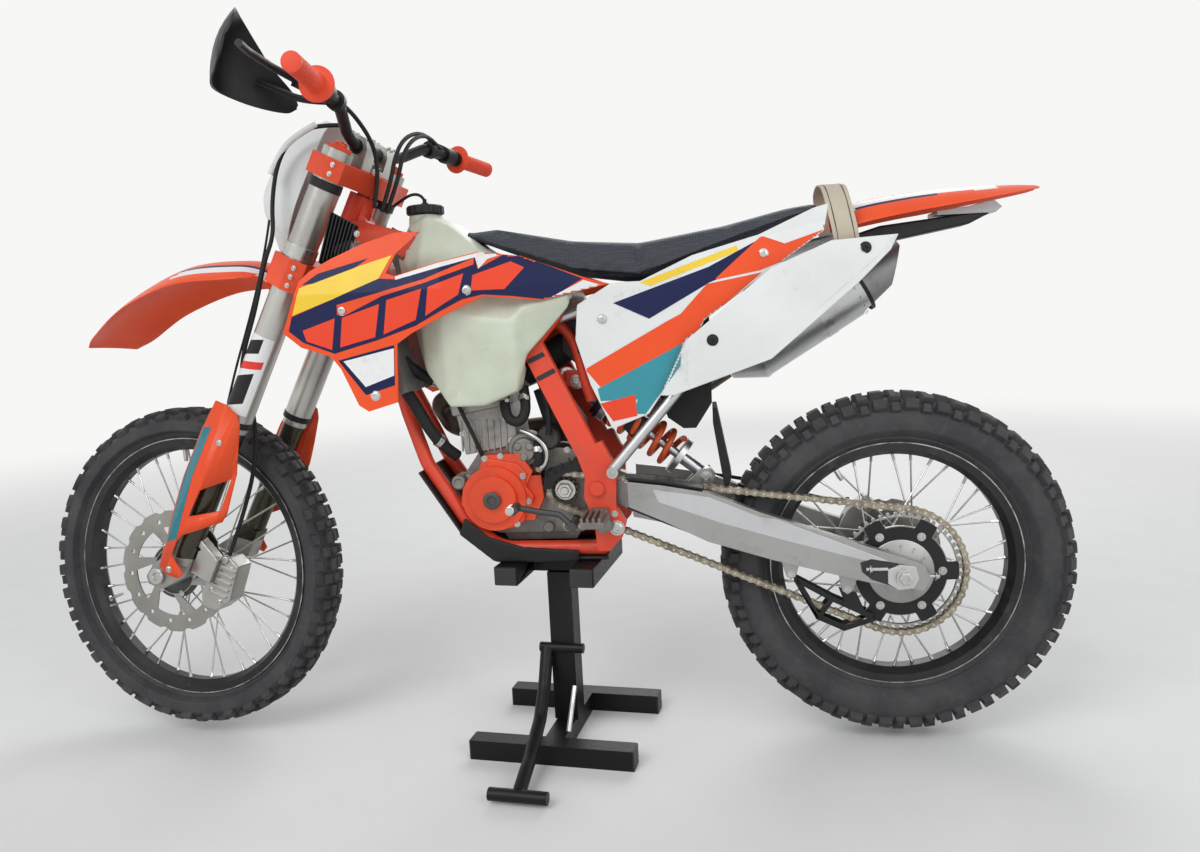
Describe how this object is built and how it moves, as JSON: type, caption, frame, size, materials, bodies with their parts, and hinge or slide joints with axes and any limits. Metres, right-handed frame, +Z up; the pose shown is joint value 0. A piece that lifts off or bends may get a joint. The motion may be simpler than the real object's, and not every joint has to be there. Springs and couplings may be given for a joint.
{
  "type": "enduro dirt bike on a paddock stand",
  "caption": "Enduro dirt bike with knobbed tyres, open single-cylinder engine and long-travel suspension, lifted on a black paddock stand.",
  "frame": {"origin": "on the floor, on the underside of the stand's cross member, in the bike's middle plane", "axes": "+X towards the bike's rear, -Y to the rider's left, +Z up"},
  "size_m": [2.1657, 0.837, 1.4236],
  "materials": {
    "bar_black": "satin",
    "casting": "cast alloy",
    "chain_steel": "oiled",
    "clamp_orange": "anodised",
    "cover_orange": "anodised",
    "disc_steel": "ground",
    "exhaust_steel": "heat tinted",
    "fork_dark": "coated",
    "fork_silver": "satin",
    "frame_orange": "powder coated",
    "frame_silver": "raw",
    "grip_orange": "soft",
    "hub_metal": "dark anodised",
    "plastic_black": "moulded",
    "plastic_orange": "moulded",
    "plastic_white": "moulded",
    "radiator_metal": "finned",
    "rim_black": "anodised, worn at the edge",
    "rubber_black": "plain",
    "seat_cover": "grained cover",
    "silencer_metal": "satin",
    "spoke_steel": "bright wire",
    "spring_orange": "coated",
    "sprocket_steel": "worn",
    "stand_black": "powder coated",
    "steel": "plain",
    "swingarm_metal": "brushed",
    "tank_plastic": "milky translucent plastic",
    "tyre": "knobbed rubber",
    "webbing": "woven"
  },
  "bodies": {
    "chassis": {"drive_sprocket": "sprocket_steel", "chain": "chain_steel", "main_frame": "frame_orange", "subframe": "frame_silver", "crankcase": "casting", "cylinder": "casting", "ignition_cover": "cover_orange", "clutch_cover": "casting", "intake": "plastic_white", "radiators": "radiator_metal", "seat": "seat_cover", "fuel_tank": "tank_plastic", "fuel_cap": "plastic_orange", "shrouds": "plastic_orange", "swingarm": "swingarm_metal", "rear_axle": "steel", "pivot_bolt": "steel", "side_panels": "plastic_white", "rear_fender": "plastic_orange", "tail_lamp": "plastic_black", "exhaust_header": "exhaust_steel", "silencer": "silencer_metal", "skid_plate": "plastic_black", "chain_guide": "plastic_black", "shock_absorber": "steel", "shock_spring": "spring_orange", "footpegs": "steel", "foot_levers": "steel", "rear_caliper": "fork_silver", "mud_flap": "rubber_black", "lift_strap": "webbing", "stand_base": "stand_black", "stand_top": "stand_black"},
    "rear_wheel": {"rear_tyre": "tyre", "rear_rim": "rim_black", "rear_hub": "hub_metal", "rear_spokes": "spoke_steel", "rear_disc": "disc_steel", "rear_sprocket": "sprocket_steel"},
    "front_wheel": {"front_tyre": "tyre", "front_rim": "rim_black", "front_hub": "hub_metal", "front_spokes": "spoke_steel", "front_disc": "disc_steel"},
    "steering": {"fork_uppers": "fork_silver", "fork_lowers": "fork_dark", "lower_clamp": "clamp_orange", "upper_clamp": "clamp_orange", "handlebar": "bar_black", "grips": "grip_orange", "hand_levers": "bar_black", "handguards": "plastic_black", "headlight_mask": "plastic_white", "front_fender": "plastic_orange", "fork_guards": "plastic_orange", "front_caliper": "fork_silver", "front_axle": "steel", "front_brake_hose": "rubber_black"}
  },
  "joints": [
    {"name": "steering_turn", "type": "hinge", "parent": "chassis", "child": "steering", "pos_m": [-0.76719, 0, 0.34167], "axis": [0.4532, 0, 0.8914], "range_deg": [-35, 53]},
    {"name": "front_wheel_spin", "type": "hinge", "parent": "steering", "child": "front_wheel", "pos_m": [-0.81737, 0.00892, 0.36718], "axis": [0.1394, 0.9877, -0.0709], "continuous": true},
    {"name": "rear_wheel_spin", "type": "hinge", "parent": "chassis", "child": "rear_wheel", "pos_m": [0.664, 0, 0.356], "axis": [0, 1, 0], "continuous": true}
  ]
}
